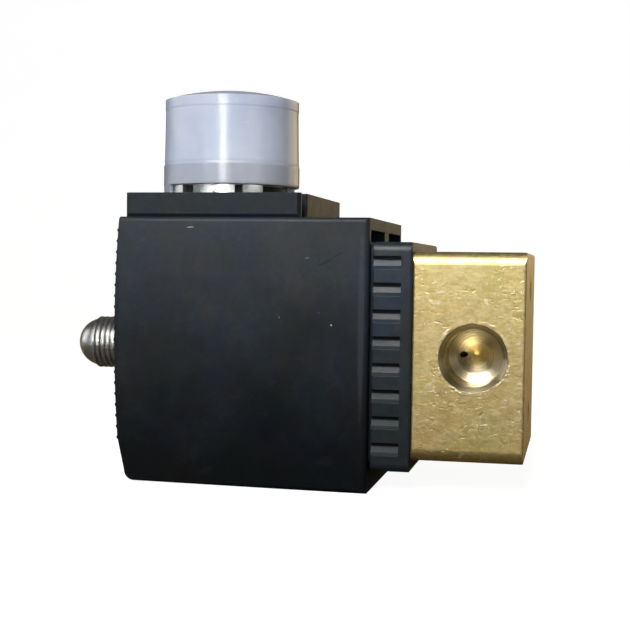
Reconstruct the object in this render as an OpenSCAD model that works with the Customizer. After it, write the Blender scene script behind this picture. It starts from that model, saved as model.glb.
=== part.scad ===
// Miniature direct acting solenoid valve: a square brass body with side
// ports, an encapsulated coil on an armature tube, and a round connector.
// Origin: where the tube axis (X) crosses the port axis (Y). Coil towards
// -X (left), front towards -Y, connector towards +Z. Millimetres.

/* [Valve body] */
// width and height of the square brass block
body_w = 32; // [26:0.5:40]
// face of the block that the coil sits on
body_x0 = -9.3; // [-12:0.1:-9]
// far end face of the block
body_x1 = 7.75; // [6:0.05:14]
// edge rounding of the block
body_r = 2.0; // [0.5:0.1:3]
// edge rounding of the short edges
end_r = 0.4; // [0.2:0.1:1]
// port thread wall radius
port_r = 4.4; // [4.2:0.05:5]
// port thread depth from the face
port_depth = 7.25; // [6:0.05:8]
// countersink radius at the port mouth
port_sink_r = 5.2; // [4.8:0.05:6]
// spacing of the two mounting threads in the end face
mount_pitch = 20; // [14:0.5:24]
// wall radius of the mounting threads
mount_r = 1.65; // [1.2:0.05:2.2]
// seat orifice radius
orifice_r = 1.1; // [0.5:0.05:1.5]

/* [Armature tube] */
// outside radius of the tube
tube_r = 5.0; // [4.5:0.05:5.1]
// inside radius of the tube
tube_in_r = 4.58; // [4.2:0.01:4.7]
// plunger radius
plunger_r = 4.5; // [4:0.01:4.55]
// plunger stroke to the pole face
stroke = 1.0; // [0.5:0.05:1.2]
// thread radius of the stub
stub_r = 4.4; // [4.2:0.05:4.5]
// thread pitch of the stub
stub_pitch = 0.9; // [0.7:0.05:1.25]
// tip of the stub
stub_x = -69.4; // [-72:0.1:-68]

/* [Coil] */
// open end of the coil shell
shell_x1 = -15.8; // [-17:0.1:-15.7]
// crown of the ribbed end face
shell_x0 = -56.7; // [-57:0.05:-56.5]
// shell depth, front to back
shell_w = 34.6; // [33:0.1:36]
// shell top
shell_top = 21.03; // [20.9:0.01:21.2]
// shell bottom at the open end
shell_bot = -21.17; // [-22:0.01:-21]
// wall of the shell
shell_wall = 1.85; // [1.5:0.05:2]
// pitch of the fine ribs on the end face
rib_pitch = 1.73; // [1.2:0.01:2.4]
// ribbed base depth, front to back
base_w = 33.0; // [32:0.1:34]
// ribbed base height
base_h = 34.8; // [33:0.1:36]
// pitch of the grip pockets
pocket_pitch = 4.07; // [3.6:0.01:4.2]
// height of a grip pocket
pocket_h = 1.95; // [1.2:0.1:2.4]
// nut across flats
nut_af = 12; // [11:0.5:13]

/* [Connector] */
// left end of the connector base
pad_x0 = -55.0; // [-56:0.1:-52]
// right end of the connector base
pad_x1 = -26.5; // [-30:0.1:-25]
// front face of the connector base
pad_front = -16.5; // [-17:0.1:-15]
// back face of the connector base
pad_back = 14.2; // [13:0.1:16]
// top of the connector base
pad_top = 24.85; // [24:0.05:26]
// connector axis along X
con_x = -42.4; // [-44:0.1:-41]
// connector thread radius
con_r = 10.0; // [9:0.1:10.1]
// cap radius at its rim
cap_r = 11.4; // [10.8:0.05:12]
// top of the cap
cap_top = 42.5; // [42:0.05:44]

/* [Hidden] */
$fn = 96;
gap = 0.02;  // clearance between neighbouring pieces
lap = 0.01;  // overlap of joined shapes
half_body = body_w / 2;
half_shell = shell_w / 2;
half_base = base_w / 2;
base_top = base_h / 2;
cavity_top = shell_top - shell_wall;
cavity_bot = shell_bot + 1.4;
bore_r = tube_r + 0.15;
plunger_x0 = -31.3;
pole_x = plunger_x0 - stroke - gap;
// X, Y of the screws holding the connector base
screw_points = [[-52.2, 10.2], [-52.2, -12.6], [-32.2, 10.2], [-32.2, -12.6]];

// ---- helpers ----
// 2D to solid, extruded along one axis; along X the outline is drawn in Y, Z
module extrude_x(x0, x1)
    translate([x0, 0, 0]) rotate([90, 0, 90]) linear_extrude(x1 - x0) children();
module extrude_y(y0, y1)
    translate([0, y1, 0]) rotate([90, 0, 0]) linear_extrude(y1 - y0) children();
module extrude_z(z0, z1) translate([0, 0, z0]) linear_extrude(z1 - z0) children();
// round shapes about Z
module rod_z(z0, z1, radius) translate([0, 0, z0]) cylinder(r = radius, h = z1 - z0);
module cone_z(z0, z1, r0, r1) translate([0, 0, z0]) cylinder(r1 = r0, r2 = r1, h = z1 - z0);
module ring_z(z0, z1, outer, inner) difference() {
    rod_z(z0, z1, outer);
    rod_z(z0 - 1, z1 + 1, inner);
}
// round shapes about the tube axis
module along_x(x) translate([x, 0, 0]) rotate([0, 90, 0]) children();
module rod_x(x0, x1, radius) along_x(x0) cylinder(r = radius, h = x1 - x0);
module cone_x(x0, x1, r0, r1) along_x(x0) cylinder(r1 = r0, r2 = r1, h = x1 - x0);
module ring_x(x0, x1, outer, inner) difference() {
    rod_x(x0, x1, outer);
    rod_x(x0 - 1, x1 + 1, inner);
}
module torus_x(x, mean_r, wire, facets = 48)
    along_x(x) rotate_extrude() translate([mean_r, 0]) circle(wire, $fn = facets);
// one thread ridge about Z, centred on z = 0
module thread_ridge(pitch, root, crest, half_land) {
    cone_z(-pitch / 2, -half_land, root, crest);
    rod_z(-half_land - lap, half_land + lap, crest);
    cone_z(half_land, pitch / 2, crest, root);
}
// 2D rounded rectangle between two corners
module rounded_rect(x0, x1, y0, y1, radius) {
    translate([x0 + radius, y0]) square([x1 - x0 - 2 * radius, y1 - y0]);
    translate([x0, y0 + radius]) square([x1 - x0, y1 - y0 - 2 * radius]);
    for (x = [x0 + radius, x1 - radius], y = [y0 + radius, y1 - radius])
        translate([x, y]) circle(radius, $fn = 48);
}
// rounded plate across X, centred on the tube axis
module plate_x(x0, x1, half_y, half_z, radius)
    extrude_x(x0, x1) rounded_rect(-half_y, half_y, -half_z, half_z, radius);
// block with separate rounding of its long edges and of the others
module rounded_block(x0, x1, half_y, z0, z1, long_r, short_r) intersection() {
    extrude_x(x0 - 1, x1 + 1) rounded_rect(-half_y, half_y, z0, z1, long_r);
    extrude_y(-half_y - 1, half_y + 1) rounded_rect(x0, x1, z0, z1, short_r);
    extrude_z(z0 - 1, z1 + 1) rounded_rect(x0, x1, -half_y, half_y, short_r);
}
// box by its corners
module box(x0, x1, y0, y1, z0, z1) translate([x0, y0, z0]) cube([x1 - x0, y1 - y0, z1 - z0]);
// children at the front and mirrored to the back
module both_sides() {
    children();
    mirror([0, 1, 0]) children();
}
module at_connector() translate([con_x, 0, 0]) children();
module at_screws() for (p = screw_points) translate([p[0], p[1], 0]) children();

// ---- valve body group ----
port_drill_r = 3;
gland_r = 7;           // thread for the gland ring
gland_x0 = -9.25;
gland_x1 = -4.65;
flange_x0 = -4.62;     // flange on the end of the tube
flange_x1 = -3.72;
flange_pocket_x1 = -2.4;
chamber_x1 = -0.6;
seat_r = 2.2;
seat_x1 = 0.9;
outlet_x = 2.2;
mount_x = body_x1 - 6; // floor of the mounting threads
mount_sink = 0.4;
body_oring_wire = 0.64;

// thread bore, countersink and drill point, opening towards the front
module port() translate([0, -half_body, 0]) rotate([-90, 0, 0]) {
    rod_z(-1, port_depth, port_r);
    cone_z(-lap, port_sink_r - port_r - lap, port_sink_r + lap, port_r);
    cone_z(port_depth - lap, port_depth + 0.54, port_r, port_drill_r);
    rod_z(port_depth + 0.5, port_depth + 0.81, port_drill_r);
    cone_z(port_depth + 0.8, port_depth + 2.6, port_drill_r, 0);
}
module valve_body() color([0.80, 0.66, 0.36]) difference() {
    rounded_block(body_x0, body_x1, half_body, -half_body, half_body, body_r, end_r);
    both_sides() port();
    // gland thread with its chamfer, flange pocket, valve chamber
    rod_x(body_x0 - 1, gland_x1 + lap, gland_r);
    cone_x(body_x0 - lap, body_x0 + 0.6, gland_r + 0.6, gland_r);
    rod_x(gland_x1, flange_pocket_x1, 6.3);
    rod_x(flange_pocket_x1 - lap, chamber_x1, 4.6);
    // seat pocket and way through to the outlet
    rod_x(chamber_x1 - lap, seat_x1, seat_r);
    rod_x(seat_x1 - lap, outlet_x, orifice_r);
    // inlet drilling from the front port, outlet drilling to the back port
    translate([-2.4, -8.5, 0]) rotate([0, 0, -14.4]) rotate([-90, 0, 0])
        cylinder(r = 0.5, h = 4.5, $fn = 48);
    translate([outlet_x, 0, 0]) rotate([-90, 0, 0]) cylinder(r = 1.3, h = 9, $fn = 48);
    // mounting threads in the end face
    for (side = [-1, 1]) translate([0, 0, side * mount_pitch / 2]) {
        rod_x(mount_x, body_x1 + 1, mount_r, $fn = 48);
        cone_x(mount_x - 0.9, mount_x + lap, 0.1, mount_r);
        cone_x(body_x1 - mount_sink, body_x1 + lap, mount_r, mount_r + mount_sink);
    }
}
module seat_insert() color([0.72, 0.72, 0.70]) difference() {
    union() {
        rod_x(-2.5, seat_x1 - gap, seat_r);
        cone_x(-3.0, -2.5, 1.6, seat_r);
    }
    rod_x(-4, 2, orifice_r);
}
module gland_ring() color([0.78, 0.62, 0.32]) difference() {
    rod_x(gland_x0, gland_x1 - gap, gland_r - gap);
    rod_x(-10, -4, tube_r + 0.05);
    cone_x(gland_x0 - lap, -8.6, tube_r + 0.7, tube_r + 0.04);
    // spanner slots
    for (a = [0, 90]) rotate([a, 0, 0]) box(gland_x0 - 0.05, -7.6, -8, 8, -0.8, 0.8);
}
module body_oring() color([0.09, 0.09, 0.09])
    torus_x(flange_x1 + gap + body_oring_wire, 5.55, body_oring_wire);

// ---- armature group ----
tube_x0 = -53.5;
root_r = stub_r - 0.24;   // root of the stub thread
tip_r = 4.1;              // dome of the stub tip
spring_bore_r = 2.25;
core_bore_x = -37.0;      // spring bore floors
plunger_bore_x = -23.0;
shading_out_r = 3.6;      // groove of the shading ring
shading_in_r = 2.9;
shading_depth = 1.5;
guide_x0 = -11.5;         // groove of the guide ring
guide_x1 = -9.2;
guide_in_r = 3.9;
seal_x0 = -6.0;           // seal pocket in the plunger
seal_r = 3.0;
spring_r = 1.75;
wire_r = 0.35;
spring_x0 = plunger_bore_x - wire_r - 0.05;
spring_x1 = core_bore_x + wire_r + 0.05;
spring_turns = 8;
end_share = 0.052;        // share of the length taken by each closed end turn
turn_steps = 18;
wire_facets = 8;

module armature_tube() color([0.70, 0.70, 0.68]) difference() {
    union() {
        rod_x(tube_x0, flange_x1, tube_r);
        rod_x(flange_x0, flange_x1, 6.2);
        cone_x(-5.0, flange_x0, tube_r, 5.04);
    }
    rod_x(-60, 0, tube_in_r);
}
module fixed_core() color([0.62, 0.62, 0.60]) difference() {
    union() {
        rod_x(-54.0, pole_x, tube_in_r - 0.01);
        rod_x(-54.4, tube_x0 - gap, tube_r);
        rod_x(-56.0, -54.3, 4.0);
        // thread as rings, then the plain domed tip
        for (k = [0 : 11])
            along_x(-65.55 + k * stub_pitch) thread_ridge(stub_pitch, root_r, stub_r, 0.12);
        rod_x(-65.9, -55.3, root_r);
        translate([stub_x + tip_r, 0, 0]) sphere(r = tip_r);
    }
    // spring seat and groove for the shading ring in the pole face
    rod_x(core_bore_x, pole_x + 1, spring_bore_r);
    ring_x(pole_x - shading_depth, pole_x + 1, shading_out_r, shading_in_r);
}
module shading_ring() color([0.72, 0.42, 0.26])
    ring_x(pole_x - shading_depth + gap, pole_x, shading_out_r - gap, shading_in_r + gap);
module plunger() color([0.55, 0.55, 0.54]) difference() {
    union() {
        rod_x(plunger_x0 + 0.4, -5.0, plunger_r);
        cone_x(plunger_x0, -30.89, plunger_r - 0.4, plunger_r);
        cone_x(-5.01, -4.2, plunger_r, 3.7);
    }
    // spring bore, seal pocket, guide ring groove
    rod_x(-40, plunger_bore_x, spring_bore_r);
    rod_x(seal_x0, 0, seal_r);
    ring_x(guide_x0, guide_x1, 6, guide_in_r);
    // flow slots along the sides
    for (a = [45 : 90 : 315]) rotate([a, 0, 0]) box(-32, -3, -0.6, 0.6, 3.9, 6);
}
module guide_ring() color([0.86, 0.85, 0.80])
    ring_x(guide_x0 + gap, guide_x1 - gap, tube_in_r - 0.03, guide_in_r + gap);
module plunger_seal() color([0.16, 0.17, 0.16]) union() {
    rod_x(seal_x0 + gap, -3.5, seal_r - gap);
    cone_x(-3.51, -3.02, seal_r - gap, 2.6);
}
// share of the spring's length reached after a number of turns
function spring_share(turn) =
    turn < 1 ? end_share * turn
    : turn > spring_turns - 1 ? 1 - end_share * (spring_turns - turn)
    : end_share + (turn - 1) / (spring_turns - 2) * (1 - 2 * end_share);
// round wire spring with closed ends
module return_spring() color([0.66, 0.67, 0.68]) {
    steps = spring_turns * turn_steps;
    last = wire_facets - 1;
    points = [for (i = [0 : steps], j = [0 : last])
        let (turn = i / turn_steps, a = 360 * turn, b = 360 * j / wire_facets,
            x = spring_x0 + (spring_x1 - spring_x0) * spring_share(turn),
            radius = spring_r + wire_r * cos(b))
        [x - wire_r * sin(b), radius * cos(a), radius * sin(a)]];
    sides = [for (i = [0 : steps - 1], j = [0 : last])
        let (k = (j + 1) % wire_facets, here = i * wire_facets, next = here + wire_facets)
        [here + j, next + j, next + k, here + k]];
    ends = [[for (j = [0 : last]) j], [for (j = [last : -1 : 0]) steps * wire_facets + j]];
    polyhedron(points, concat(sides, ends), convexity = 10);
}

// ---- coil group ----
crown_r = 199;            // crown of the ribbed end face, and its height
crown_z = 2.54;
corner_r = 1.65;          // round lower corner of the shell
tail_face_x = -55.7;      // spot face for the tail washer
screw_hole_r = 1.22;
boss_z = 18.35;
wire_way_r = 6.0;
base_groove_x = -11.1;    // floor of the seal groove in the coil base
base_oring_wire = 0.87;
tail_oring_wire = 0.75;
yoke_x0 = -50.3;          // inner faces of the yoke frame
yoke_x1 = -27.0;
yoke_half_y = 13.5;
yoke_in_z = 15.7;
yoke_out_z = 18.2;
bobbin_r = 6.2;
cheek_r = 14.3;
winding_x0 = -48.9;       // inner faces of the bobbin cheeks
winding_x1 = -28.4;
pin_z = 21.0;
lead_r = 0.6;
lead_offset = 2.26;       // leads from the connector axis, along X and Y
earth_z = 18.95;          // bend of the earth lead, and its run along Y
earth_run = 2.4;
nut_x0 = -59.8;
nut_x1 = -56.3;
nut_round_r = 7.3;

// side outline of the shell: crowned ribbed end, round lower corner
module shell_outline() {
    corner_x = shell_x0 + 3.5;
    low_z = shell_bot + 0.37;
    corner_z = low_z + corner_r;
    intersection() {
        union() {
            polygon([[shell_x1, shell_bot], [shell_x1, shell_top], [-59, shell_top],
                [-59, -0.6], [corner_x - corner_r, corner_z], [corner_x, corner_z],
                [corner_x, low_z]]);
            translate([corner_x, corner_z]) circle(corner_r);
        }
        translate([shell_x0 + crown_r, crown_z]) circle(crown_r, $fn = 360);
    }
    // fine ribs following the crown
    for (k = [-8 : 11]) let (z = k * rib_pitch - 0.16)
        translate([shell_x0 + pow(z - crown_z, 2) / 2 / crown_r + 0.13, z])
            circle(0.31, $fn = 24);
}
module coil_shell() color([0.17, 0.18, 0.20]) {
    difference() {
        intersection() {
            extrude_y(-half_shell, half_shell) shell_outline();
            extrude_x(-60, 0) rounded_rect(-half_shell, half_shell, shell_bot, shell_top, 0.7);
            extrude_z(-30, 30) rounded_rect(shell_x0 - 1.1, 10, -half_shell, half_shell, 2.2);
            extrude_z(-30, 30) rounded_rect(-70, shell_x1, -half_shell, half_shell, 0.8);
        }
        // cavity open towards the body
        extrude_x(-52.9, 0)
            rounded_rect(-half_shell + 1.55, half_shell - 1.55, cavity_bot, cavity_top, 1.0);
        // way through for the tube, seal groove, spot face for the washer
        rod_x(-70, -50, bore_r);
        rod_x(tail_face_x, -54.15, 6.9);
        rod_x(-60, tail_face_x, 8.3);
        // wire way and screw holes under the connector
        at_connector() rod_z(10, 30, wire_way_r);
        at_screws() rod_z(10, 30, screw_hole_r, $fn = 48);
    }
    // bosses for the screws
    at_screws() difference() {
        rod_z(boss_z, cavity_top + 0.05, 2.3, $fn = 48);
        rod_z(boss_z - 1, boss_z + 3, screw_hole_r, $fn = 48);
    }
    // web above the plug of the coil base, and the sill under it
    box(-21, shell_x1 - 0.05, -1.8, 2.4, base_top - 0.05, cavity_top + 0.2);
    box(-19, shell_x1, -half_shell + 1.4, half_shell - 1.4, cavity_bot - 0.2, -base_top + 0.05);
    // round-topped nib to the right of the connector base
    translate([-25.95, 13.7, shell_top - 0.2]) {
        cylinder(r = 0.45, h = 0.85, $fn = 48);
        translate([0, 0, 0.85]) sphere(r = 0.45, $fn = 48);
    }
}
// row of pockets in the front side of the base
module grip_pockets() {
    top = pocket_h / 2;
    for (k = [0 : 7]) translate([0, -half_base, (k - 3.5) * pocket_pitch])
        extrude_x(-17, -11.0) polygon([[-1, top], [0.8, top], [0.88, top - 0.6],
            [0.66, -top + 0.5], [0.25, -top], [-1, -top]]);
}
module coil_base() color([0.19, 0.20, 0.22]) difference() {
    union() {
        rounded_block(-15.4, body_x0 - gap, half_base, -base_top - 0.4, base_top, 1.4, 0.35);
        plate_x(-16.2, -15.3, 15.3, 16.9, 1.0);
        plate_x(-24.0, -16.1, 15.6, base_top - 0.1, 1.0);
    }
    both_sides() grip_pockets();
    // hollow plug with a boss round the tube
    difference() {
        plate_x(-25, -13.0, 14.0, 15.8, 1.0);
        rod_x(-25, -12.9, 7.4);
    }
    rod_x(-30, 0, bore_r);
    // seal groove in the face against the body
    ring_x(base_groove_x, -5, 10.0, 8.05);
}
module yoke_frame() color([0.40, 0.41, 0.42]) difference() {
    union() {
        plate_x(yoke_x1, -24.4, yoke_half_y, yoke_out_z, 1.0);
        plate_x(-52.8, yoke_x0, yoke_half_y, yoke_out_z, 1.0);
        box(-52, -26, -yoke_half_y, yoke_half_y, -yoke_out_z, -yoke_in_z);
    }
    rod_x(-60, 0, bore_r);
}
module yoke_plate() color([0.42, 0.43, 0.44]) difference() {
    box(yoke_x0 + gap, yoke_x1 - gap, -9.5, 9.5, yoke_in_z, yoke_out_z);
    at_connector() rod_z(10, 30, 4.4);
}
module bobbin() color([0.82, 0.80, 0.72]) difference() {
    x0 = yoke_x0 + 2 * gap;
    x1 = yoke_x1 - 2 * gap;
    union() {
        rod_x(x0, x1, bobbin_r);
        rod_x(x0, winding_x0, cheek_r);
        rod_x(winding_x1, x1, cheek_r);
    }
    rod_x(-60, 0, bore_r);
}
module winding() color([0.70, 0.38, 0.20]) difference() {
    rod_x(winding_x0 + gap, winding_x1 - gap, 13.2);
    rod_x(-60, 0, bobbin_r + gap);
    // grooves round the outside
    for (k = [0 : 11]) torus_x(-47.9 + k * 1.68, 13.4, 0.42, facets = 24);
}
// upright lead, placed from the connector axis
module lead(x, y, z0, z1) translate([con_x + x, y, 0]) rod_z(z0, z1, lead_r, $fn = 32);
module coil_leads() color([0.62, 0.16, 0.12]) {
    for (side = [1, -1]) lead(lead_offset, side * lead_offset, 13.25, pin_z - gap);
    // earth lead down to the yoke plate
    lead(-lead_offset, lead_offset, earth_z, pin_z - gap);
    translate([con_x - lead_offset, lead_offset, earth_z]) {
        for (y = [0, earth_run]) translate([0, y, 0]) sphere(r = lead_r, $fn = 32);
        rotate([-90, 0, 0]) cylinder(r = lead_r, h = earth_run, $fn = 32);
    }
    lead(-lead_offset, lead_offset + earth_run, yoke_out_z + gap, earth_z);
}
module base_oring() color([0.08, 0.08, 0.08])
    torus_x(base_groove_x + gap + base_oring_wire, 9.02, base_oring_wire);
module tail_oring() color([0.08, 0.08, 0.08])
    torus_x(tail_face_x + gap + tail_oring_wire, 6.05, tail_oring_wire);
module tail_washer() color([0.68, 0.68, 0.66])
    ring_x(nut_x1 + gap, tail_face_x - gap, 7.9, 4.55);
module coil_nut() color([0.66, 0.66, 0.64]) difference() {
    intersection() {
        rod_x(nut_x0, nut_x1, nut_af / 2 / cos(30), $fn = 6);
        union() {
            $fn = 96;
            cone_x(nut_x0, -59.1, 6.1, nut_round_r);
            rod_x(-59.11, nut_x1, nut_round_r);
        }
    }
    rod_x(-70, -50, stub_r + 0.05);
    cone_x(nut_x0 - lap, -59.3, stub_r + 0.5, stub_r + 0.05);
}

// ---- connector group ----
pad_z0 = shell_top + 0.01;
bezel_depth = 1.15;
bezel_x1 = pad_x1 - 0.25;
collar_r = 9.3;           // collar round the connector shell
collar_top = 26.5;
socket_z = 22.0;          // floor and radius of the socket in the base
socket_r = 8.66;
gasket_out_r = 8.05;      // gasket groove
gasket_in_r = 6.55;
gasket_top = 21.65;
head_z = 22.4;            // seat of the screw heads
head_r = 2.0;
con_bore_r = 7.6;
con_root_r = con_r - 0.55;
pin_circle_r = 3.2;
pin_r = 0.75;
pin_shoulder_z = 29.1;
cap_z0 = 26.65;
cap_dome_r = 38.6;
// notches of the lock ring: direction and width in degrees
notches = [[22, 7], [-26.5, 13], [74, 60]];

module connector_base() color([0.18, 0.19, 0.21]) difference() {
    union() {
        extrude_z(pad_z0, pad_top) rounded_rect(pad_x0, pad_x1, -12.7, pad_back, 0.3);
        box(pad_x0 + 0.1, pad_x1 - 3.2, pad_front + bezel_depth, -12, pad_z0, pad_top);
        // collar above, spigot into the wire way below
        at_connector() rod_z(pad_top - 0.1, collar_top, collar_r);
        at_connector() rod_z(19.75, shell_top + 0.1, wire_way_r - 0.05);
    }
    at_connector() {
        rod_z(18, 30, 5.0);
        rod_z(socket_z, 30, socket_r);
    }
    // gasket groove in the underside
    at_connector() ring_z(shell_top - 0.5, gasket_top, gasket_out_r, gasket_in_r);
    at_screws() {
        rod_z(20, 30, 1.25, $fn = 48);
        rod_z(head_z, head_z + 10, head_r + 0.1, $fn = 48);
    }
}
module pad_bezel() color([0.20, 0.21, 0.23]) intersection() {
    box(pad_x0, bezel_x1, pad_front, pad_front + bezel_depth - gap, pad_z0, pad_top);
    // bevels along the ends and the lower edge of the face
    extrude_z(0, 30) polygon([[pad_x0 + 0.45, pad_front], [pad_x0, pad_front + 0.3],
        [pad_x0, 0], [bezel_x1, 0], [bezel_x1, pad_front + 0.5], [bezel_x1 - 0.5, pad_front]]);
    extrude_x(-60, 0) polygon([[pad_front, 30], [0, 30], [0, shell_top],
        [pad_front + 0.3, shell_top], [pad_front, shell_top + 0.5]]);
}
module pad_gasket() color([0.10, 0.10, 0.10]) at_connector()
    ring_z(shell_top + gap, gasket_top - gap, gasket_out_r - 0.05, gasket_in_r + 0.05);
module pad_screws() color([0.66, 0.66, 0.64]) at_screws() difference() {
    union() {
        rod_z(18.7, 22.5, 1.18, $fn = 48);
        rod_z(head_z + lap, 23.71, head_r, $fn = 48);
        cone_z(23.7, 24.15, head_r, 1.5, $fn = 48);
    }
    // cross recess
    for (a = [0, 90]) rotate([0, 0, a]) box(-1.1, 1.1, -0.25, 0.25, 23.2, 25.2);
}
module connector_shell() color([0.70, 0.70, 0.68]) at_connector() difference() {
    union() {
        rod_z(socket_z + gap, 26.8, socket_r - 2 * gap);
        rod_z(26.7, 30.0, con_r - 0.7);
        // thread as rings
        for (z = [27.35 : 0.9 : 29.5])
            translate([0, 0, z]) thread_ridge(0.9, con_root_r, con_r, 0.09);
    }
    rod_z(20, 32, con_bore_r);
    cone_z(29.7, 30.05, con_bore_r, con_bore_r + 0.35);
}
module lock_ring() color([0.74, 0.73, 0.68]) at_connector() difference() {
    rod_z(pad_top + gap, collar_top + 0.05, 10.6);
    rod_z(20, 30, collar_r + 2 * gap);
    // notches, repeated half a turn round
    for (notch = notches, half = [0, 180]) let (side = 20 * tan(notch[1] / 2))
        rotate([0, 0, notch[0] - 90 + half])
            extrude_z(pad_top + 0.3, 30) polygon([[0, 0], [20, -side], [20, side]]);
}
module at_pins() for (a = [45 : 90 : 315]) rotate([0, 0, a])
    translate([pin_circle_r, 0, 0]) children();
module connector_insert() color([0.12, 0.12, 0.13]) at_connector() difference() {
    union() {
        rod_z(socket_z + gap, 27.6, con_bore_r - 0.05);
        rod_z(27.5, 28.4, 6.2);
    }
    at_pins() rod_z(20, 32, pin_r + 0.01, $fn = 48);
    // keyway
    box(-0.8, 0.8, -8, -6.6, 24, 29);
}
module contact_pins() color([0.80, 0.68, 0.36]) at_connector() at_pins() {
    rod_z(pin_z, pin_shoulder_z, pin_r, $fn = 48);
    cone_z(pin_shoulder_z, pin_shoulder_z + 0.5, pin_r, 0.35, $fn = 48);
}
module protective_cap() color([0.80, 0.83, 0.90, 0.55]) at_connector() {
    // side wall with a thicker rim band, closed by a shallow dome
    rotate_extrude() difference() {
        intersection() {
            // radius, height
            polygon([[0, cap_z0], [cap_r - 0.05, cap_z0], [cap_r, 26.9], [cap_r, 29.9],
                [cap_r - 0.12, 30.3], [cap_r - 0.27, 39.1], [cap_r - 0.2, 39.3],
                [cap_r - 0.22, 50], [0, 50]]);
            translate([0, cap_top - cap_dome_r]) circle(cap_dome_r, $fn = 360);
        }
        translate([-1, 0]) square([con_r + 1.08, 39.6]);
        // keeps the profile on one side of the axis
        translate([-60, 0]) square([60, 60]);
    }
    // tab hanging from the rim, on the left towards the front
    intersection() {
        ring_z(pad_top + 0.03, cap_z0 + 0.1, cap_r - 0.05, con_r + 0.7);
        extrude_z(20, 30) polygon([[0, 0], [-20, -18], [-20, -1]]);
    }
}

valve_body();
seat_insert();
gland_ring();
body_oring();
armature_tube();
fixed_core();
shading_ring();
plunger();
guide_ring();
plunger_seal();
return_spring();
coil_shell();
coil_base();
yoke_frame();
yoke_plate();
bobbin();
winding();
coil_leads();
base_oring();
tail_oring();
tail_washer();
coil_nut();
connector_base();
pad_bezel();
pad_gasket();
pad_screws();
connector_shell();
lock_ring();
connector_insert();
contact_pins();
protective_cap();
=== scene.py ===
"""A brass solenoid valve: procedural materials, floor, lights and camera.

The valve body is centred on the origin with its ports opening along Y. The coil lies
towards -X, and the capped connector stands above it, towards +Z. The camera looks from
-Y, a little to the +X side. The scene is in metres; materials work in millimetres.
"""

import math
import random

import bpy
from mathutils import Matrix, Vector


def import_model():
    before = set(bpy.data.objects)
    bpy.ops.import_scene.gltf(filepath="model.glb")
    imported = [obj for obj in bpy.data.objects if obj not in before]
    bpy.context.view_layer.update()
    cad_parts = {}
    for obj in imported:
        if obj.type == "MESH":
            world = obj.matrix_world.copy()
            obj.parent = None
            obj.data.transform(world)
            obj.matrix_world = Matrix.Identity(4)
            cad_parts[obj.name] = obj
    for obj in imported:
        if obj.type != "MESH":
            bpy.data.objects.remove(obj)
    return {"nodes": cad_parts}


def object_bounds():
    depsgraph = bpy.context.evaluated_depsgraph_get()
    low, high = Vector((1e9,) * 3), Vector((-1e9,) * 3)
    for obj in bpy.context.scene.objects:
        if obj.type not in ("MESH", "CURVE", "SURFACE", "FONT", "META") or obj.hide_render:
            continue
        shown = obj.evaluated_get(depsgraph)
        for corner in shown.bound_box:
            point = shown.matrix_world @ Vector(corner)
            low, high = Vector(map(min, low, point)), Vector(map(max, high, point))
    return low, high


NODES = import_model()["nodes"]
CAD_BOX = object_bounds()
MM = 0.001
random.seed(7)


# ------------------------------------------------------------------ node graphs
class Value:
    """A node output. Arithmetic on it adds math nodes, operands in written order."""

    def __init__(self, graph, socket):
        self.graph = graph
        self.socket = socket

    def __add__(self, other):
        return self.graph.math("ADD", self, other)

    def __radd__(self, other):
        return self.graph.math("ADD", other, self)

    def __sub__(self, other):
        return self.graph.math("SUBTRACT", self, other)

    def __rsub__(self, other):
        return self.graph.math("SUBTRACT", other, self)

    def __mul__(self, other):
        return self.graph.math("MULTIPLY", self, other)

    def __abs__(self):
        return self.graph.math("ABSOLUTE", self)

    def max(self, other):
        return self.graph.math("MAXIMUM", self, other)

    def remap(self, start, end, first, last, smooth=False):
        """Go from first to last as the value goes from start to end."""
        inputs = {"Value": self, "From Min": start, "From Max": end,
                  "To Min": first, "To Max": last}
        kind = "SMOOTHSTEP" if smooth else "LINEAR"
        return self.graph.node("MapRange", inputs, interpolation_type=kind)

    def rise(self, start, end):
        return self.remap(start, end, 0, 1)

    def fall(self, start, end):
        return self.remap(start, end, 1, 0)

    def smooth_rise(self, start, end):
        return self.remap(start, end, 0, 1, smooth=True)

    def smooth_fall(self, start, end):
        return self.remap(start, end, 1, 0, smooth=True)

    def toward(self, color, amount):
        """This colour blended towards another."""
        return self.graph.mix(amount, self, color)

    def tinted(self, tint, amount=None):
        """This colour multiplied by a tint, in full or by an amount."""
        tinted = self.graph.mix(1.0, self, tint, blend="MULTIPLY")
        return tinted if amount is None else self.toward(tinted, amount)


class Graph:
    """A node tree, emptied and built by short calls."""

    def __init__(self, tree):
        self.tree = tree
        tree.nodes.clear()

    def put(self, socket, value):
        """Link a Value, or set a plain number, vector or RGB colour."""
        if isinstance(value, Value):
            self.tree.links.new(value.socket, socket)
        elif isinstance(value, tuple) and socket.type == "RGBA":
            socket.default_value = (*value, 1)
        else:
            socket.default_value = value

    def node(self, kind, inputs, output=0, **settings):
        node = self.tree.nodes.new("ShaderNode" + kind)
        for name, setting in settings.items():
            setattr(node, name, setting)
        for key, value in inputs.items():
            self.put(node.inputs[key], value)
        return Value(self, node.outputs[output])

    def finish(self, kind, shader):
        self.put(self.tree.nodes.new("ShaderNode" + kind).inputs[0], shader)

    def math(self, operation, a, b=0.0, clamp=False):
        return self.node("Math", {0: a, 1: b}, operation=operation, use_clamp=clamp)

    def mix(self, amount, a, b, blend="MIX"):
        return self.node("Mix", {0: amount, 6: a, 7: b}, 2, data_type="RGBA", blend_type=blend)

    def split(self, vector):
        """The X, Y and Z parts of a vector."""
        x = self.node("SeparateXYZ", {0: vector})
        return [Value(self, socket) for socket in x.socket.node.outputs]

    def camera_ray(self):
        return self.node("LightPath", {}, "Is Camera Ray")


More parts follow.
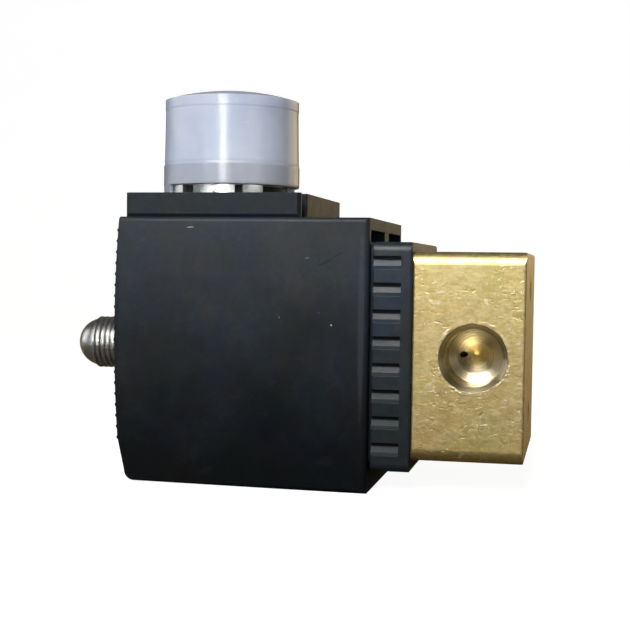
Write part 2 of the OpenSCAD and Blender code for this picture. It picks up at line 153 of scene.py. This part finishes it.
class Material(Graph):
    """A surface material. Coordinates are the object's own, in millimetres.

    Textures take the arguments of mapped() to stretch, turn or shift their pattern.
    Axes are numbered 0, 1, 2 for X, Y, Z.
    """

    def __init__(self, name):
        self.material = bpy.data.materials.new(name)
        self.material.use_nodes = True
        super().__init__(self.material.node_tree)
        metres = self.node("TexCoord", {}, "Object")
        self.coords = self.mapped(stretch=(1000, 1000, 1000), coords=metres)

    def mapped(self, stretch=(1, 1, 1), turn=(0, 0, 0), shift=(0, 0, 0), coords=None):
        return self.node("Mapping", {"Vector": coords or self.coords, "Scale": stretch,
                                     "Rotation": turn, "Location": shift})

    def noise(self, scale, detail=3.0, rough=0.5, distortion=0.0, output="Fac", **mapping):
        coords = self.mapped(**mapping) if mapping else self.coords
        inputs = {"Vector": coords, "Scale": scale, "Detail": detail,
                  "Roughness": rough, "Distortion": distortion}
        return self.node("TexNoise", inputs, output)

    def voronoi(self, scale, feature="F1", **mapping):
        coords = self.mapped(**mapping) if mapping else self.coords
        inputs = {"Vector": coords, "Scale": scale}
        return self.node("TexVoronoi", inputs, "Distance", feature=feature)

    def warp(self, scale, amount):
        """Coordinates pushed about by noise, for ragged shapes."""
        push = self.noise(scale=scale, detail=2.0, output="Color")
        inputs = {0: push, 1: (amount,) * 3, 2: self.coords}
        return self.node("VectorMath", inputs, operation="MULTIPLY_ADD")

    def ramp(self, value, stops):
        """Colour ramp through (position, colour) stops."""
        color = self.node("ValToRGB", {0: value})
        elements = color.socket.node.color_ramp.elements
        while len(elements) < len(stops):
            elements.new(0.5)
        for element, (position, rgb) in zip(elements, stops):
            element.position = position
            element.color = (*rgb, 1)
        return color

    def axis(self, index):
        return self.split(self.coords)[index]

    def normal_axis(self, index):
        """One part of the face normal, in the object's frame."""
        normal = self.node("NewGeometry", {}, "True Normal")
        local = self.node("VectorTransform", {0: normal}, vector_type="NORMAL",
                          convert_from="WORLD", convert_to="OBJECT")
        return self.split(local)[index]

    def rounded(self, radius):
        """Normals as if edges were rounded, radius in mm."""
        return self.node("Bevel", {"Radius": radius * MM}, samples=6)

    def edge(self, radius, gain):
        """About 1 on convex and concave edges, 0 on flats."""
        normal = self.node("NewGeometry", {}, "Normal")
        inputs = {0: self.rounded(radius), 1: normal}
        match = self.node("VectorMath", inputs, "Value", operation="DOT_PRODUCT")
        return self.math("MULTIPLY", 1.0 - match, gain, clamp=True)

    def bump(self, height, strength, depth, edge_radius=0.0):
        """Bumped normal, depth and edge radius in mm."""
        inputs = {"Strength": strength, "Distance": depth * MM, "Height": height}
        if edge_radius:
            inputs["Normal"] = self.rounded(edge_radius)
        return self.node("Bump", inputs)

    def surface(self, **inputs):
        """Principled surface; argument names are its inputs, with _ for spaces."""
        inputs = {name.replace("_", " "): value for name, value in inputs.items()}
        self.finish("OutputMaterial", self.node("BsdfPrincipled", inputs))
        return self.material


def scaled(color, factor, lift=0.0):
    return tuple(min(1, part * factor + lift) for part in color)


# ------------------------------------------------------------------ brass
PORT_RADIUS = 5.18      # radius of the painted shade line at the mouth of the ports
BURR_RADIUS = 5.50      # middle of the burred rim that carries a painted highlight


def brass_color(m, z, broad, cloud, grit, fine):
    """Cloudy cast tone with ragged grain, with painted shade darkening it low down."""
    color = m.ramp(cloud * 0.45 + (grit * 0.35 + fine * 0.20), [
        (0.34, (0.60, 0.45, 0.19)), (0.46, (0.71, 0.555, 0.25)),
        (0.56, (0.80, 0.655, 0.335)), (0.70, (0.90, 0.79, 0.49))])
    color = color.tinted((0.93, 0.985, 0.86), amount=broad.rise(start=0.35, end=0.7))
    ruddy = m.noise(scale=0.25, shift=(7, 2, 5)).smooth_rise(start=0.5, end=0.7)
    color = color.tinted((1.03, 0.98, 0.93), amount=ruddy)
    # painted shade: browner and darker towards the bottom, as if lit from above
    painted_low_shade = (z + broad * 14.0).smooth_rise(start=13.0, end=-12.0)
    return color.tinted((0.78, 0.70, 0.60), amount=painted_low_shade * 0.45)


def brass_marks(m):
    """Masks of the marks scattered over the casting."""
    warped = m.warp(scale=1.1, amount=0.9)
    # drifts of shallow dents, each with a painted highlight and a painted shade just below it
    drift = m.noise(scale=0.20, detail=2, distortion=0.4, stretch=(1, 1, 1.4), shift=(3, 9, 5))
    drift = drift.smooth_rise(start=0.44, end=0.62)
    dent_highlight = m.voronoi(scale=0.95, stretch=(0.70, 1, 1.25), coords=warped)
    gate = m.noise(scale=0.9, detail=2, shift=(4, 6, 2)).smooth_rise(start=0.42, end=0.58)
    dent_highlight = dent_highlight.smooth_fall(start=0.10, end=0.36) * (drift * gate)
    dent_shade = m.voronoi(scale=0.95, stretch=(0.70, 1, 1.25), shift=(0, 0, 0.36), coords=warped)
    dent_shade = dent_shade.smooth_fall(start=0.04, end=0.24) * drift
    # patches of ragged bright flecks and dark pocks, drawn out along X
    patch = m.noise(scale=0.17, detail=2, distortion=0.3, stretch=(1, 1, 1.3), shift=(6, 2, 11))
    patch = patch.smooth_rise(start=0.42, end=0.60)
    ragged = m.noise(scale=1.05, rough=0.58, distortion=0.6,
                     stretch=(0.70, 1, 1.10), shift=(2, 0, 5))
    fleck = ragged.smooth_rise(start=0.60, end=0.69) * patch
    pock = ragged.smooth_rise(start=0.40, end=0.34) * patch
    # scattered single spots, bright and dark
    ding = m.voronoi(scale=0.34, stretch=(0.6, 1, 1.4), shift=(4, 4, 1), coords=warped)
    gate = m.noise(scale=0.3, detail=2, shift=(1, 7, 2)).rise(start=0.40, end=0.50)
    ding = ding.smooth_fall(start=0.05, end=0.17) * gate
    dark = m.voronoi(scale=0.30, stretch=(1, 1, 0.8), shift=(8, 1, 6), coords=warped)
    gate = m.noise(scale=0.35, detail=2, shift=(2, 8, 9)).rise(start=0.46, end=0.54)
    dark = dark.smooth_fall(start=0.03, end=0.12) * gate
    # a few fine scratches
    scratch = m.voronoi(scale=0.42, feature="DISTANCE_TO_EDGE",
                        stretch=(0.5, 1, 2.0), turn=(0, 0.35, 0))
    gate = m.noise(scale=0.35, detail=2, shift=(8, 3, 1)).rise(start=0.56, end=0.62)
    scratch = scratch.fall(start=0.0, end=0.008) * gate
    return dent_highlight, dent_shade, fleck, pock, ding, dark, scratch


def brass():
    m = Material("brass_cast")
    x, y, z = m.axis(0), m.axis(1), m.axis(2)
    broad = m.noise(scale=0.10, rough=0.55)
    cloud = m.noise(scale=0.42, detail=5, rough=0.62, distortion=0.5, stretch=(0.85, 1, 1.1))
    grit = m.noise(scale=1.7, detail=5, rough=0.70, distortion=0.4, stretch=(0.75, 1, 1.15))
    fine = m.noise(scale=5.5, detail=4, rough=0.65)
    color = brass_color(m, z, broad, cloud, grit, fine)
    edge = m.edge(radius=0.22, gain=6)
    nick = m.noise(scale=0.9, rough=0.6, shift=(3, 5, 7)).smooth_rise(start=0.50, end=0.58)
    nick = edge * nick

    # the ports: turned walls, a painted shade line at the mouth, and a ragged burred rim just
    # outside it with a painted highlight
    radius = m.math("SQRT", x * x + z * z)
    bore = radius.fall(start=5.16, end=5.24) * abs(y).rise(start=7.0, end=7.4)
    wobble = radius + (m.noise(scale=0.8) - 0.5) * 1.1
    # painted highlight on the burred rim; it also raises the bump
    burr_glint = abs(wobble - BURR_RADIUS).smooth_fall(start=0.06, end=0.30)
    burr_glint = burr_glint * m.noise(scale=0.9, shift=(6, 1, 9)).rise(start=0.44, end=0.60)
    shade = abs(wobble - PORT_RADIUS).smooth_fall(start=0.05, end=0.22) * 0.55
    cast = 1.0 - bore
    dent_highlight, dent_shade, fleck, pock, ding, dark, scratch, burr_glint, shade = (
        mask * cast for mask in (*brass_marks(m), burr_glint, shade))

    # marks: dark ones first (with painted shade below dents and at the port mouths), then
    # bright ones (with painted highlights on dents and on the burred rim), then worn edges with
    # dark nicks
    color = color.toward((0.50, 0.39, 0.17), amount=dent_shade.max(pock) * 0.30)
    color = color.toward((0.36, 0.27, 0.12), amount=(dark * 0.55).max(shade))
    bright = (dent_highlight * 0.50).max(fleck * 0.58).max((ding * 0.75).max(burr_glint * 0.55))
    color = color.toward((0.99, 0.94, 0.74), amount=bright)
    color = color.toward((0.94, 0.88, 0.62), amount=scratch * 0.35)
    color = color.toward((0.95, 0.90, 0.62), amount=edge * 0.30)
    color = color.toward((0.30, 0.22, 0.10), amount=nick * 0.60)
    # painted shade on the +X end face, darkest near the top
    shaded_end_face = m.normal_axis(0).rise(start=0.6, end=0.9)
    end_shade = m.mix(z.smooth_rise(start=-8.0, end=14.0), (0.84, 0.84, 0.88), (0.56, 0.58, 0.60))
    color = color.tinted(end_shade, amount=shaded_end_face)
    # tool marks in the ports, with painted shade darkening them towards -X
    turning = m.math("SINE", (radius + y * 0.6) * 22.0)
    cut_and_shade = m.mix(turning.rise(start=-1, end=1), (0.76, 0.65, 0.40), (0.90, 0.82, 0.60))
    cut_and_shade = cut_and_shade.tinted((0.62, 0.56, 0.42), amount=x.smooth_rise(start=1.0, end=-4.4))
    color = color.toward(cut_and_shade, amount=bore)

    height = fine * 0.22 + grit * 0.40 + cloud * 0.40 + dent_highlight.max(fleck) * 0.26
    height = height - pock * 0.35 - dark * 0.8 + burr_glint * 0.6 - scratch * 0.3 - nick * 1.2
    height = height * cast + turning * bore * 0.07
    rough = grit.remap(start=0.3, end=0.7, first=0.40, last=0.54) * cast + bore * 0.30
    # the sheen fans out across the tool marks
    around = m.node("CombineXYZ", {0: z, 1: 0.0, 2: x * -1.0})
    around = m.node("VectorMath", {0: around}, operation="NORMALIZE")
    return m.surface(Base_Color=color, Metallic=1.0, Roughness=rough, Anisotropic=bore * 0.45,
                     Anisotropic_Rotation=0.25, Tangent=around,
                     Normal=m.bump(height, strength=0.5, depth=0.10))


# ------------------------------------------------------------------ dark plastics
# Marks on the shell: centre x, z, half sizes in x and z (mm), tilt (rad), strength, colour
SHELL_MARKS = (
    (-44.1, 19.4, 0.62, 0.09, 0.05, 0.8, (0.40, 0.40, 0.38)),
    (-21.5, 4.6, 0.16, 0.17, 0.0, 0.8, (0.42, 0.42, 0.42)),
    (-22.6, 14.1, 1.5, 0.20, 0.45, 0.7, (0.004, 0.006, 0.010)),
    (-20.4, 15.4, 1.1, 0.16, 0.45, 0.6, (0.005, 0.007, 0.011)),
    (-25.4, 14.8, 0.35, 0.10, 0.1, 0.6, (0.16, 0.16, 0.15)),
    (-40.0, 17.8, 0.18, 0.18, 0.0, 0.7, (0.003, 0.004, 0.006)),
    (-29.7, 5.6, 0.12, 0.12, 0.0, 0.6, (0.22, 0.22, 0.20)),
    # painted highlight: a pale strip down the rounded right front edge
    (-16.9, 5.0, 0.55, 15.0, 0.0, 0.35, (0.055, 0.062, 0.072)),
)
# Slow drifts of hue: noise scale, shift of the pattern, tint (blue, green, brown)
PLASTIC_HUES = (
    (0.12, (0, 3, 1), (0.76, 0.95, 1.32)),
    (0.15, (5, 1, 7), (0.80, 1.14, 0.94)),
    (0.18, (2, 8, 4), (1.26, 1.04, 0.82)),
)


def ellipse(x, z, center_x, center_z, half_x, half_z, tilt):
    """Squared distance from a centre in XZ, 1 on the rim of a tilted ellipse."""
    cos, sin = math.cos(tilt), math.sin(tilt)
    from_x, from_z = x - center_x, z - center_z
    along = from_x * (cos / half_x) + from_z * (sin / half_x)
    across = from_x * (-sin / half_z) + from_z * (cos / half_z)
    return along * along + across * across


def dark_plastic(name, base, rough, grain, worn, specular,
                 scuff=1.0, low=-21.0, dim=0.22, marks=()):
    """Moulded plastic with painted shade darkening it towards the bottom, down to height low.

    grain scales the fine relief, worn the pale edges, scuff the rubs and scratches.
    """
    m = Material(name)
    x, z = m.axis(0), m.axis(2)
    broad = m.noise(scale=0.055, rough=0.55)
    mid = m.noise(scale=0.35, detail=4, rough=0.6, distortion=0.3)
    small = m.noise(scale=1.1, rough=0.6)
    fine = m.noise(scale=7.0, detail=2)
    cells = m.voronoi(scale=9.0)
    color = m.ramp(broad * 0.36 + (mid * 0.34 + small * 0.30), [
        (0.38, scaled(base, 0.78)), (0.5, base), (0.62, scaled(base, 1.30, lift=0.001))])
    color = color.tinted((1.18, 1.16, 1.12), amount=fine.rise(start=0.35, end=0.75))
    # painted shade: darker towards the bottom, as if lit from above
    painted_light_ramp = (z + (broad - 0.5) * 24.0).smooth_rise(start=low, end=21.0)
    color = color.tinted(m.mix(painted_light_ramp, (dim,) * 3, (0.90, 0.94, 1.00)))
    for scale, shift, tint in PLASTIC_HUES:
        hue = m.noise(scale=scale, detail=4, rough=0.6, distortion=0.6, shift=shift)
        color = color.tinted(tint, amount=hue.smooth_rise(start=0.46, end=0.68) * 0.85)

    # soft rubbed patches, hairline scratches, pale specks and worn edges
    rub = m.noise(scale=0.16, detail=4, rough=0.65, distortion=0.8,
                  stretch=(1, 1, 1.5), shift=(5, 1, 2)).smooth_rise(start=0.57, end=0.76)
    scratch = m.voronoi(scale=0.13, feature="DISTANCE_TO_EDGE",
                        stretch=(1, 1, 1.7), turn=(0.1, 0.6, 0))
    gate = m.noise(scale=0.22, detail=2, shift=(1, 6, 3)).rise(start=0.56, end=0.64)
    scratch = scratch.fall(start=0.0, end=0.0012) * gate
    speck = m.voronoi(scale=0.34, stretch=(0.8, 1, 1.3), shift=(2, 5, 8))
    gate = m.noise(scale=0.5, detail=1, shift=(9, 2, 4)).rise(start=0.57, end=0.62)
    speck = speck.fall(start=0.03, end=0.05) * gate
    edge = m.edge(radius=0.2, gain=5)
    color = color.toward(scaled(base, 1.5, lift=0.004), amount=rub * (0.22 * scuff))
    color = color.toward(scaled(base, 2.2, lift=0.01), amount=scratch * (0.30 * scuff))
    color = color.toward((0.22, 0.22, 0.21), amount=speck * (0.5 * scuff))
    color = color.toward(scaled(base, 2.0, lift=0.008), amount=edge * worn)
    for *place, strength, mark_color in marks:
        ragged = small * 1.1 + fine * 0.5
        mark = ellipse(x, z, *place).smooth_fall(start=ragged - 0.55, end=ragged + 0.45)
        color = color.toward(mark_color, amount=mark * strength)

    end_faces = abs(m.normal_axis(0)).rise(start=0.6, end=0.9)
    roughness = rough + (mid - 0.5) * 0.22 - rub * 0.05 + end_faces * 0.07
    height = cells * (0.6 * grain) + fine * (0.5 * grain) - scratch * 0.3
    height = height + m.noise(scale=0.09, detail=2) * 3.0
    # the painted shade also dims the specular towards the bottom
    shine = painted_light_ramp.remap(start=0.0, end=1.0, first=specular * dim, last=specular)
    return m.surface(Base_Color=color, Roughness=roughness, Specular_IOR_Level=shine,
                     Normal=m.bump(height, strength=0.34, depth=0.03, edge_radius=0.15))


# ------------------------------------------------------------------ other materials
def steel(name, base, rough, dirt, stretch=(9, 1, 1)):
    """Turned steel; the marks repeat fastest along the stretched axis."""
    m = Material(name)
    turned = m.noise(scale=0.9, rough=0.6, stretch=stretch)
    blot = m.noise(scale=0.5, detail=4, rough=0.6)
    fine = m.noise(scale=6, rough=0.6)
    color = m.ramp(turned, [(0.3, scaled(base, 0.80)), (0.5, base), (0.72, scaled(base, 1.18))])
    grime = blot.smooth_rise(start=0.48, end=0.72) * dirt
    color = color.toward((0.16, 0.14, 0.115), amount=grime)
    color = color.toward((0.86, 0.85, 0.82), amount=m.edge(radius=0.12, gain=5) * 0.35)
    roughness = (turned + blot).remap(start=0.7, end=1.4, first=rough - 0.06, last=rough + 0.14)
    normal = m.bump(turned * 0.7 + fine * 0.25, strength=0.35, depth=0.03)
    return m.surface(Base_Color=color, Metallic=1.0, Roughness=roughness, Normal=normal)


def rubber():
    m = Material("seal_rubber")
    cloud = m.noise(scale=1.2, detail=4, rough=0.6)
    fine = m.noise(scale=9, detail=2)
    color = m.ramp(cloud, [(0.3, (0.012, 0.012, 0.013)), (0.7, (0.035, 0.035, 0.037))])
    roughness = cloud.remap(start=0.3, end=0.7, first=0.55, last=0.75)
    return m.surface(Base_Color=color, Roughness=roughness,
                     Normal=m.bump(fine * 0.6 + cloud, strength=0.3, depth=0.03))


def painted_steel():
    m = Material("yoke_paint")
    cloud = m.noise(scale=0.6, detail=4, rough=0.6)
    fine = m.noise(scale=6)
    color = m.ramp(cloud, [(0.3, (0.030, 0.032, 0.035)), (0.7, (0.065, 0.067, 0.07))])
    color = color.toward((0.30, 0.29, 0.27), amount=m.edge(radius=0.15, gain=5) * 0.4)
    roughness = fine.remap(start=0.3, end=0.7, first=0.35, last=0.55)
    return m.surface(Base_Color=color, Roughness=roughness, Metallic=0.55,
                     Normal=m.bump(fine + cloud, strength=0.3, depth=0.03))


def copper(name, lacquer, wire_relief):
    """Copper with wire-like bands across X."""
    m = Material(name)
    wire = m.node("TexWave", {"Vector": m.coords, "Scale": 1.55, "Distortion": 0.3}, "Fac")
    cloud = m.noise(scale=0.8, detail=4, rough=0.6)
    color = m.ramp(cloud, [
        (0.3, (0.46, 0.16, 0.06)), (0.6, (0.70, 0.33, 0.16)), (0.8, (0.85, 0.49, 0.28))])
    roughness = cloud.remap(start=0.3, end=0.7, first=0.22, last=0.4)
    return m.surface(Base_Color=color, Metallic=1.0, Roughness=roughness,
                     Coat_Weight=lacquer, Coat_Roughness=0.15,
                     Normal=m.bump(wire * wire_relief + cloud * 0.3, strength=0.4, depth=0.05))


def solid_plastic(name, base, rough, wax=0.0):
    """Evenly coloured plastic; wax is the share of light scattered inside."""
    m = Material(name)
    cloud = m.noise(scale=0.5, detail=4, rough=0.6)
    fine = m.noise(scale=6, detail=2)
    color = m.ramp(cloud, [(0.3, scaled(base, 0.86)), (0.7, scaled(base, 1.08))])
    edge = m.edge(radius=0.15, gain=4)
    color = color.toward(scaled(base, 1.25, lift=0.02), amount=edge * 0.2)
    roughness = fine.remap(start=0.3, end=0.7, first=rough - 0.05, last=rough + 0.08)
    return m.surface(Base_Color=color, Roughness=roughness,
                     Subsurface_Weight=wax, Subsurface_Scale=0.001,
                     Normal=m.bump(fine + cloud, strength=0.2, depth=0.03))


def gold():
    m = Material("gold_flash")
    cloud = m.noise(scale=1.0, detail=4, rough=0.6)
    color = m.ramp(cloud, [(0.3, (0.70, 0.50, 0.20)), (0.7, (0.92, 0.74, 0.38))])
    roughness = cloud.remap(start=0.3, end=0.7, first=0.15, last=0.28)
    return m.surface(Base_Color=color, Metallic=1.0, Roughness=roughness,
                     Normal=m.bump(cloud, strength=0.15, depth=0.02))


def cap():
    """Milky translucent polyethylene: part clear, part scattering."""
    m = Material("cap_polyethylene")
    z = m.axis(2)
    cloud = m.noise(scale=0.14, distortion=0.3)
    fine = m.noise(scale=4, detail=2)
    color = m.ramp(cloud, [(0.3, (0.49, 0.55, 0.70)), (0.7, (0.58, 0.63, 0.74))])
    wear = m.noise(scale=0.9, detail=4, rough=0.7, shift=(3, 3, 3))
    wear = wear.smooth_rise(start=0.60, end=0.75)
    color = color.toward((0.86, 0.88, 0.93), amount=wear * 0.25)
    # the lowest band is greyer and clearer
    low_band = z.remap(start=30.6, end=29.2, first=0.0, last=0.8, smooth=True)
    color = color.tinted((0.92, 0.90, 0.84), amount=low_band)
    clear = z.remap(start=29.6, end=31.0, first=0.30, last=0.10, smooth=True)
    return m.surface(Base_Color=color, Roughness=cloud * 0.06 + 0.21, IOR=1.49,
                     Transmission_Weight=clear, Subsurface_Weight=0.6,
                     Subsurface_Scale=0.0016, Subsurface_Radius=(1.0, 1.0, 1.15),
                     Specular_IOR_Level=0.5, Normal=m.bump(fine, strength=0.06, depth=0.02))


# Each material and the pieces that wear it
FINISHES = (
    (brass(), ("valve_body", "gland_ring")),
    (dark_plastic("shell_plastic", base=(0.0165, 0.0205, 0.0265), rough=0.50, grain=1.0,
                  worn=0.20, specular=0.32, marks=SHELL_MARKS), ("coil_shell",)),
    (dark_plastic("base_plastic", base=(0.0195, 0.0255, 0.0325), rough=0.40, grain=0.5,
                  worn=0.18, specular=0.35, scuff=0.6, dim=0.62), ("coil_base",)),
    (dark_plastic("pad_plastic", base=(0.0095, 0.0124, 0.0162), rough=0.46, grain=0.7,
                  worn=0.18, specular=0.22, scuff=0.5, low=-30.0),
     ("connector_base", "pad_bezel")),
    (steel("stainless", base=(0.62, 0.61, 0.59), rough=0.26, dirt=0.2),
     ("seat_insert", "armature_tube")),
    (steel("core_steel", base=(0.72, 0.72, 0.69), rough=0.32, dirt=0.35),
     ("fixed_core", "plunger")),
    (steel("plated_steel", base=(0.66, 0.65, 0.60), rough=0.30, dirt=0.25),
     ("tail_washer", "coil_nut", "pad_screws")),
    (steel("nickel", base=(0.63, 0.64, 0.61), rough=0.30, dirt=0.15, stretch=(1, 1, 9)),
     ("connector_shell", "lock_ring")),
    (steel("spring_steel", base=(0.64, 0.65, 0.66), rough=0.2, dirt=0.1), ("return_spring",)),
    (rubber(), ("plunger_seal", "body_oring", "base_oring", "tail_oring", "pad_gasket")),
    (painted_steel(), ("yoke_frame", "yoke_plate")),
    (copper("copper", lacquer=0.0, wire_relief=0.2), ("shading_ring",)),
    (copper("winding_wire", lacquer=0.8, wire_relief=1.0), ("winding",)),
    (solid_plastic("ptfe", base=(0.80, 0.79, 0.74), rough=0.35, wax=0.3), ("guide_ring",)),
    (solid_plastic("bobbin_nylon", base=(0.72, 0.69, 0.58), rough=0.35, wax=0.2),
     ("bobbin",)),
    (solid_plastic("lead_jacket", base=(0.45, 0.045, 0.03), rough=0.4), ("coil_leads",)),
    (solid_plastic("insert_plastic", base=(0.03, 0.03, 0.032), rough=0.45),
     ("connector_insert",)),
    (gold(), ("contact_pins",)),
    (cap(), ("protective_cap",)),
)
for material, pieces in FINISHES:
    for piece in pieces:
        slots = NODES[piece].data.materials
        slots.clear()
        slots.append(material)


# ------------------------------------------------------------------ floor
def floor_material():
    """Pale to the camera, dim to everything else, so undersides stay dark."""
    m = Material("floor")
    cloud = m.noise(scale=0.02)
    pale = m.ramp(cloud, [(0.3, (0.86, 0.86, 0.86)), (0.7, (0.90, 0.90, 0.90))])
    camera_ray = m.camera_ray()
    # what other rays see: dark under the valve, warmer and lighter behind it
    behind = m.axis(1).smooth_rise(start=14.0, end=50.0)
    dim = m.mix(behind, (0.10, 0.08, 0.055), (0.50, 0.40, 0.25))
    color = dim.toward(pale.tinted((0.35, 0.35, 0.35)), amount=camera_ray)
    return m.surface(Base_Color=color, Roughness=0.9, Specular_IOR_Level=0.1,
                     Emission_Color=(1.0, 1.0, 1.0), Emission_Strength=camera_ray * 0.93)


# The floor turns up behind the valve into a wall (metres)
FLOOR_HALF_WIDTH = 2.2
FLOOR_FRONT = -1.2
CURVE_START = 0.35
CURVE_RADIUS = 0.5
CURVE_STEPS = 12
WALL_HEIGHT = 1.6


def build_floor():
    level = CAD_BOX[0].z
    profile = [(FLOOR_FRONT, level), (CURVE_START, level)]
    for step in range(1, CURVE_STEPS + 1):
        angle = math.radians(90 * step / CURVE_STEPS)
        profile.append((CURVE_START + CURVE_RADIUS * math.sin(angle),
                        level + CURVE_RADIUS * (1 - math.cos(angle))))
    profile.append((CURVE_START + CURVE_RADIUS, level + WALL_HEIGHT))
    verts = [(x, y, z) for y, z in profile for x in (-FLOOR_HALF_WIDTH, FLOOR_HALF_WIDTH)]
    faces = [(2 * i, 2 * i + 1, 2 * i + 3, 2 * i + 2) for i in range(len(profile) - 1)]
    mesh = bpy.data.meshes.new("floor")
    mesh.from_pydata(verts, [], faces)
    mesh.materials.append(floor_material())
    floor = bpy.data.objects.new("floor", mesh)
    bpy.context.scene.collection.objects.link(floor)
    for face in mesh.polygons:
        face.use_smooth = True


build_floor()


# ------------------------------------------------------------------ lights
def direction(azimuth, elevation):
    """Unit vector, azimuth from -Y towards +X, angles in radians."""
    return Vector((math.sin(azimuth) * math.cos(elevation),
                   -math.cos(azimuth) * math.cos(elevation), math.sin(elevation)))


def area_light(name, azimuth, elevation, distance, size, watts, color,
               target=(-0.025, 0, 0.005), spread=180.0):
    """Rectangular light facing its target, angles in degrees, size (width, height)."""
    light = bpy.data.lights.new(name, "AREA")
    light.shape = "RECTANGLE"
    light.size, light.size_y = size
    light.energy = watts
    light.color = color
    light.spread = math.radians(spread)
    lamp = bpy.data.objects.new(name, light)
    lamp.visible_camera = False
    bpy.context.scene.collection.objects.link(lamp)
    target = Vector(target)
    away = direction(math.radians(azimuth), math.radians(elevation))
    location = target + away * distance
    lamp.location = location
    lamp.rotation_mode = "QUATERNION"
    lamp.rotation_quaternion = (target - location).to_track_quat("-Z", "Y")


area_light("key", azimuth=-4, elevation=34, distance=0.60, size=(0.22, 0.34),
           watts=2.45, color=(1.0, 0.995, 0.97))
area_light("near", azimuth=4, elevation=52, distance=0.150, size=(0.10, 0.06),
           watts=0.042, color=(0.96, 0.985, 1.0), target=(-0.028, -0.016, 0.012))
area_light("left", azimuth=-86, elevation=12, distance=0.60, size=(0.30, 0.40),
           watts=0.50, color=(0.93, 0.96, 1.0))
area_light("right", azimuth=54, elevation=6, distance=0.50, size=(0.16, 0.16),
           watts=0.16, color=(1.0, 0.99, 0.95))
area_light("back_warm", azimuth=148, elevation=3, distance=0.55, size=(0.40, 0.30),
           watts=0.72, color=(1.0, 0.80, 0.50))
area_light("cap_strip", azimuth=0.6, elevation=6.5, distance=0.25, size=(0.058, 0.045),
           watts=0.0019, color=(0.98, 0.99, 1.0), target=(-0.0424, -0.010, 0.037), spread=12)
area_light("stub_strip", azimuth=-24, elevation=7, distance=0.30, size=(0.05, 0.07),
           watts=0.0014, color=(0.98, 1.0, 1.0), target=(-0.0665, 0.0, 0.0), spread=10)
area_light("port_top", azimuth=-22, elevation=38, distance=0.15, size=(0.10, 0.06),
           watts=0.0050, color=(1.0, 0.98, 0.94), target=(0.0, -0.014, 0.0), spread=24)


# ------------------------------------------------------------------ world
def build_world():
    """White to the camera; otherwise cool in front, warm behind, dark overhead."""
    world = bpy.data.worlds.new("studio")
    bpy.context.scene.world = world
    world.use_nodes = True
    graph = Graph(world.node_tree)
    _, y, z = graph.split(graph.node("TexCoord", {}, "Generated"))
    around = graph.mix(y.smooth_rise(start=-0.5, end=0.5), (0.20, 0.21, 0.235),
                       (0.30, 0.225, 0.15))
    sky = around.toward((0.03, 0.03, 0.035), amount=z.smooth_rise(start=0.15, end=0.75))
    lit = graph.node("Background", {"Color": sky, "Strength": 0.8})
    seen = graph.node("Background", {"Color": (1, 1, 1), "Strength": 1.0})
    shader = graph.node("MixShader", {0: graph.camera_ray(), 1: lit, 2: seen})
    graph.finish("OutputWorld", shader)


build_world()

# ------------------------------------------------------------------ camera
CAMERA_PLACE = Vector((15.2393, -200.4818, 13.5)) * MM
CAMERA_AZIMUTH = math.radians(12.189)
CAMERA_ELEVATION = math.radians(2.891)
CAMERA_ROLL = math.radians(0.732)


def build_camera():
    camera = bpy.data.cameras.new("camera")
    camera.sensor_width = 36.0
    camera.lens = 70.0304571
    camera.shift_x = 0.00323492063
    camera.shift_y = 0.0213412698
    camera.clip_start = 0.01
    camera.clip_end = 20
    holder = bpy.data.objects.new("camera", camera)
    bpy.context.scene.collection.objects.link(holder)
    back = direction(CAMERA_AZIMUTH, CAMERA_ELEVATION)
    right = Vector((0, 0, 1)).cross(back).normalized()
    up = back.cross(right)
    cos, sin = math.cos(CAMERA_ROLL), math.sin(CAMERA_ROLL)
    axes = (right * cos + up * sin, up * cos - right * sin, back)
    matrix = Matrix(axes).transposed().to_4x4()
    matrix.translation = CAMERA_PLACE
    holder.matrix_world = matrix
    bpy.context.scene.camera = holder


build_camera()

view = bpy.context.scene.view_settings
view.view_transform = "Standard"
view.look = "None"
view.exposure = 0.0
view.gamma = 1.0
